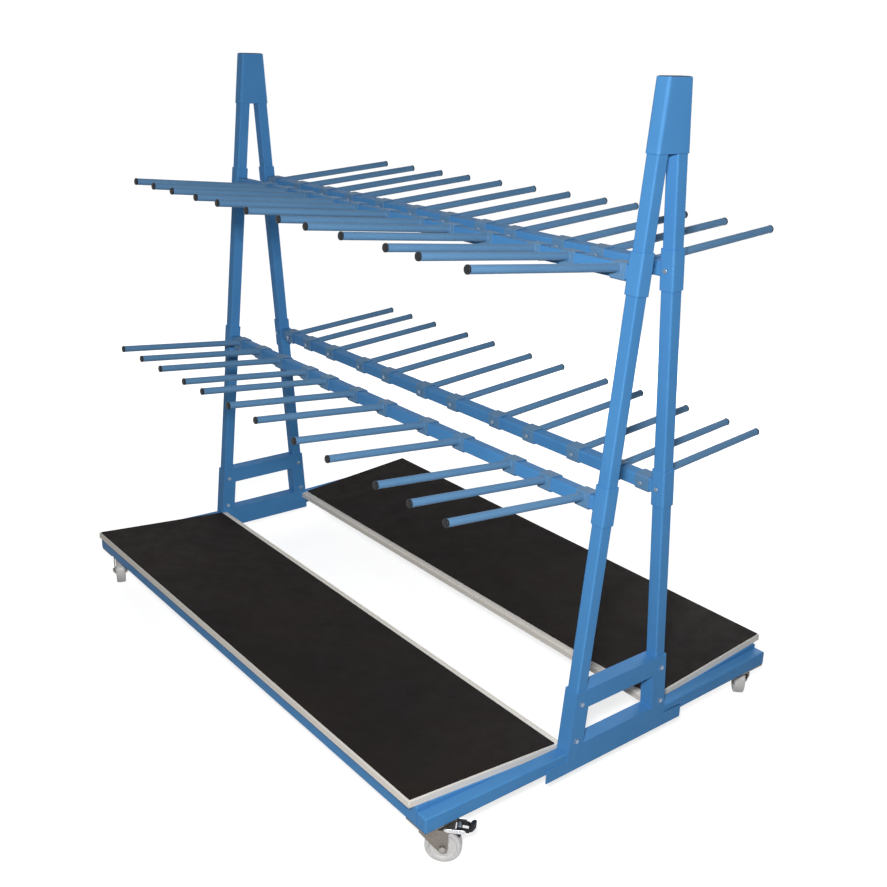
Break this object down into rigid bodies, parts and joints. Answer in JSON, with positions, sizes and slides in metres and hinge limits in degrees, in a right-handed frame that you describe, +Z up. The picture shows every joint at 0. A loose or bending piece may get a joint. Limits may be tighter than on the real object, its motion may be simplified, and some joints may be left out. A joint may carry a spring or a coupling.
{
  "type": "vertical profile cart",
  "caption": "Rolling two-sided cart for long profiles: leaning decks on casters, A-frame ends and rails of round arms that slide along to part the profiles.",
  "frame": {"origin": "on the floor under the middle of the cart", "axes": "+X along the cart to its near end, +Y to the rear deck, +Z up"},
  "size_m": [2.1998, 1.4708, 1.984],
  "materials": {
    "blue_paint": "satin powder coat",
    "plywood": "raw cut edge",
    "black_mat": "matt",
    "zinc_steel": "zinc plated",
    "nylon": "moulded, pale grey",
    "black_plastic": "moulded"
  },
  "bodies": {
    "cart": {"front_deck_frame": "blue_paint", "front_board": "plywood", "front_mat": "black_mat", "near_front_leg": "blue_paint", "far_front_leg": "blue_paint", "rear_deck_frame": "blue_paint", "rear_board": "plywood", "rear_mat": "black_mat", "near_rear_leg": "blue_paint", "far_rear_leg": "blue_paint", "near_base": "blue_paint", "near_cap": "blue_paint", "far_base": "blue_paint", "far_cap": "blue_paint", "upper_front_rail": "blue_paint", "upper_rear_rail": "blue_paint", "lower_front_rail": "blue_paint", "lower_rear_rail": "blue_paint", "near_front_plate": "zinc_steel", "near_rear_plate": "zinc_steel", "far_front_plate": "zinc_steel", "far_rear_plate": "zinc_steel"},
    "upper_front_arm_2": {"upper_front_arm_2": "blue_paint"},
    "upper_front_arm_4": {"upper_front_arm_4": "blue_paint"},
    "upper_front_arm_6": {"upper_front_arm_6": "blue_paint"},
    "upper_front_arm_8": {"upper_front_arm_8": "blue_paint"},
    "upper_front_arm_10": {"upper_front_arm_10": "blue_paint"},
    "upper_front_arm_12": {"upper_front_arm_12": "blue_paint"},
    "upper_rear_arm_2": {"upper_rear_arm_2": "blue_paint"},
    "upper_rear_arm_4": {"upper_rear_arm_4": "blue_paint"},
    "upper_rear_arm_6": {"upper_rear_arm_6": "blue_paint"},
    "upper_rear_arm_8": {"upper_rear_arm_8": "blue_paint"},
    "upper_rear_arm_10": {"upper_rear_arm_10": "blue_paint"},
    "upper_rear_arm_12": {"upper_rear_arm_12": "blue_paint"},
    "lower_front_arm_2": {"lower_front_arm_2": "blue_paint"},
    "lower_front_arm_4": {"lower_front_arm_4": "blue_paint"},
    "lower_front_arm_6": {"lower_front_arm_6": "blue_paint"},
    "lower_front_arm_8": {"lower_front_arm_8": "blue_paint"},
    "lower_front_arm_10": {"lower_front_arm_10": "blue_paint"},
    "lower_front_arm_12": {"lower_front_arm_12": "blue_paint"},
    "lower_rear_arm_2": {"lower_rear_arm_2": "blue_paint"},
    "lower_rear_arm_4": {"lower_rear_arm_4": "blue_paint"},
    "lower_rear_arm_6": {"lower_rear_arm_6": "blue_paint"},
    "lower_rear_arm_8": {"lower_rear_arm_8": "blue_paint"},
    "lower_rear_arm_10": {"lower_rear_arm_10": "blue_paint"},
    "lower_rear_arm_12": {"lower_rear_arm_12": "blue_paint"},
    "near_front_caster": {"near_front_fork": "zinc_steel", "near_front_axle": "zinc_steel"},
    "near_front_wheel": {"near_front_wheel": "nylon"},
    "near_front_brake": {"near_front_brake": "black_plastic"},
    "near_rear_caster": {"near_rear_fork": "zinc_steel", "near_rear_axle": "zinc_steel"},
    "near_rear_wheel": {"near_rear_wheel": "nylon"},
    "far_front_caster": {"far_front_fork": "zinc_steel", "far_front_axle": "zinc_steel"},
    "far_front_wheel": {"far_front_wheel": "nylon"},
    "far_rear_caster": {"far_rear_fork": "zinc_steel", "far_rear_axle": "zinc_steel"},
    "far_rear_wheel": {"far_rear_wheel": "nylon"},
    "far_rear_brake": {"far_rear_brake": "black_plastic"}
  },
  "joints": [
    {"name": "upper_front_arm_2_slide", "type": "slide", "parent": "cart", "child": "upper_front_arm_2", "axis": [1, 0, 0], "range_m": [-0.0867, 0.0867]},
    {"name": "upper_front_arm_4_slide", "type": "slide", "parent": "cart", "child": "upper_front_arm_4", "axis": [1, 0, 0], "range_m": [-0.1167, 0.0917]},
    {"name": "upper_front_arm_6_slide", "type": "slide", "parent": "cart", "child": "upper_front_arm_6", "axis": [1, 0, 0], "range_m": [-0.1267, 0.1317]},
    {"name": "upper_front_arm_8_slide", "type": "slide", "parent": "cart", "child": "upper_front_arm_8", "axis": [1, 0, 0], "range_m": [-0.0917, 0.1217]},
    {"name": "upper_front_arm_10_slide", "type": "slide", "parent": "cart", "child": "upper_front_arm_10", "axis": [1, 0, 0], "range_m": [-0.1467, 0.0817]},
    {"name": "upper_front_arm_12_slide", "type": "slide", "parent": "cart", "child": "upper_front_arm_12", "axis": [1, 0, 0], "range_m": [-0.1317, 0.004]},
    {"name": "upper_rear_arm_2_slide", "type": "slide", "parent": "cart", "child": "upper_rear_arm_2", "axis": [1, 0, 0], "range_m": [-0.1317, 0.1317]},
    {"name": "upper_rear_arm_4_slide", "type": "slide", "parent": "cart", "child": "upper_rear_arm_4", "axis": [1, 0, 0], "range_m": [-0.1167, 0.1317]},
    {"name": "upper_rear_arm_6_slide", "type": "slide", "parent": "cart", "child": "upper_rear_arm_6", "axis": [1, 0, 0], "range_m": [-0.1317, 0.1217]},
    {"name": "upper_rear_arm_8_slide", "type": "slide", "parent": "cart", "child": "upper_rear_arm_8", "axis": [1, 0, 0], "range_m": [-0.1217, 0.0867]},
    {"name": "upper_rear_arm_10_slide", "type": "slide", "parent": "cart", "child": "upper_rear_arm_10", "axis": [1, 0, 0], "range_m": [-0.1517, 0.1017]},
    {"name": "upper_rear_arm_12_slide", "type": "slide", "parent": "cart", "child": "upper_rear_arm_12", "axis": [1, 0, 0], "range_m": [-0.1117, 0.034]},
    {"name": "lower_front_arm_2_slide", "type": "slide", "parent": "cart", "child": "lower_front_arm_2", "axis": [1, 0, 0], "range_m": [-0.1067, 0.1017]},
    {"name": "lower_front_arm_4_slide", "type": "slide", "parent": "cart", "child": "lower_front_arm_4", "axis": [1, 0, 0], "range_m": [-0.1317, 0.0817]},
    {"name": "lower_front_arm_6_slide", "type": "slide", "parent": "cart", "child": "lower_front_arm_6", "axis": [1, 0, 0], "range_m": [-0.1267, 0.1217]},
    {"name": "lower_front_arm_8_slide", "type": "slide", "parent": "cart", "child": "lower_front_arm_8", "axis": [1, 0, 0], "range_m": [-0.1717, 0.1267]},
    {"name": "lower_front_arm_10_slide", "type": "slide", "parent": "cart", "child": "lower_front_arm_10", "axis": [1, 0, 0], "range_m": [-0.1817, 0.0967]},
    {"name": "lower_front_arm_12_slide", "type": "slide", "parent": "cart", "child": "lower_front_arm_12", "axis": [1, 0, 0], "range_m": [-0.0967, 0.014]},
    {"name": "lower_rear_arm_2_slide", "type": "slide", "parent": "cart", "child": "lower_rear_arm_2", "axis": [1, 0, 0], "range_m": [-0.0867, 0.1117]},
    {"name": "lower_rear_arm_4_slide", "type": "slide", "parent": "cart", "child": "lower_rear_arm_4", "axis": [1, 0, 0], "range_m": [-0.1567, 0.1117]},
    {"name": "lower_rear_arm_6_slide", "type": "slide", "parent": "cart", "child": "lower_rear_arm_6", "axis": [1, 0, 0], "range_m": [-0.1617, 0.1217]},
    {"name": "lower_rear_arm_8_slide", "type": "slide", "parent": "cart", "child": "lower_rear_arm_8", "axis": [1, 0, 0], "range_m": [-0.1667, 0.1117]},
    {"name": "lower_rear_arm_10_slide", "type": "slide", "parent": "cart", "child": "lower_rear_arm_10", "axis": [1, 0, 0], "range_m": [-0.1467, 0.1117]},
    {"name": "lower_rear_arm_12_slide", "type": "slide", "parent": "cart", "child": "lower_rear_arm_12", "axis": [1, 0, 0], "range_m": [-0.0617, 0.009]},
    {"name": "near_front_swivel", "type": "hinge", "parent": "cart", "child": "near_front_caster", "pos_m": [1.003, -0.65999, 0.1], "axis": [0, 0, 1], "continuous": true},
    {"name": "near_front_roll", "type": "hinge", "parent": "near_front_caster", "child": "near_front_wheel", "pos_m": [1.02846, -0.63453, 0.05], "axis": [-0.7071, 0.7071, 0], "continuous": true},
    {"name": "near_front_brake_press", "type": "hinge", "parent": "near_front_caster", "child": "near_front_brake", "pos_m": [1.05674, -0.60625, 0.109], "axis": [-0.7071, 0.7071, 0], "range_deg": [0, 15]},
    {"name": "near_rear_swivel", "type": "hinge", "parent": "cart", "child": "near_rear_caster", "pos_m": [1.003, 0.65999, 0.1], "axis": [0, 0, 1], "continuous": true},
    {"name": "near_rear_roll", "type": "hinge", "parent": "near_rear_caster", "child": "near_rear_wheel", "pos_m": [0.97845, 0.68632, 0.05], "axis": [-0.7314, -0.682, 0], "continuous": true},
    {"name": "far_front_swivel", "type": "hinge", "parent": "cart", "child": "far_front_caster", "pos_m": [-1.003, -0.65999, 0.1], "axis": [0, 0, 1], "continuous": true},
    {"name": "far_front_roll", "type": "hinge", "parent": "far_front_caster", "child": "far_front_wheel", "pos_m": [-0.96962, -0.67348, 0.05], "axis": [0.3746, 0.9272, 0], "continuous": true},
    {"name": "far_rear_swivel", "type": "hinge", "parent": "cart", "child": "far_rear_caster", "pos_m": [-1.003, 0.65999, 0.1], "axis": [0, 0, 1], "continuous": true},
    {"name": "far_rear_roll", "type": "hinge", "parent": "far_rear_caster", "child": "far_rear_wheel", "pos_m": [-1.02846, 0.63453, 0.05], "axis": [0.7071, -0.7071, 0], "continuous": true},
    {"name": "far_rear_brake_press", "type": "hinge", "parent": "far_rear_caster", "child": "far_rear_brake", "pos_m": [-1.05674, 0.60625, 0.109], "axis": [0.7071, -0.7071, 0], "range_deg": [0, 15]}
  ]
}
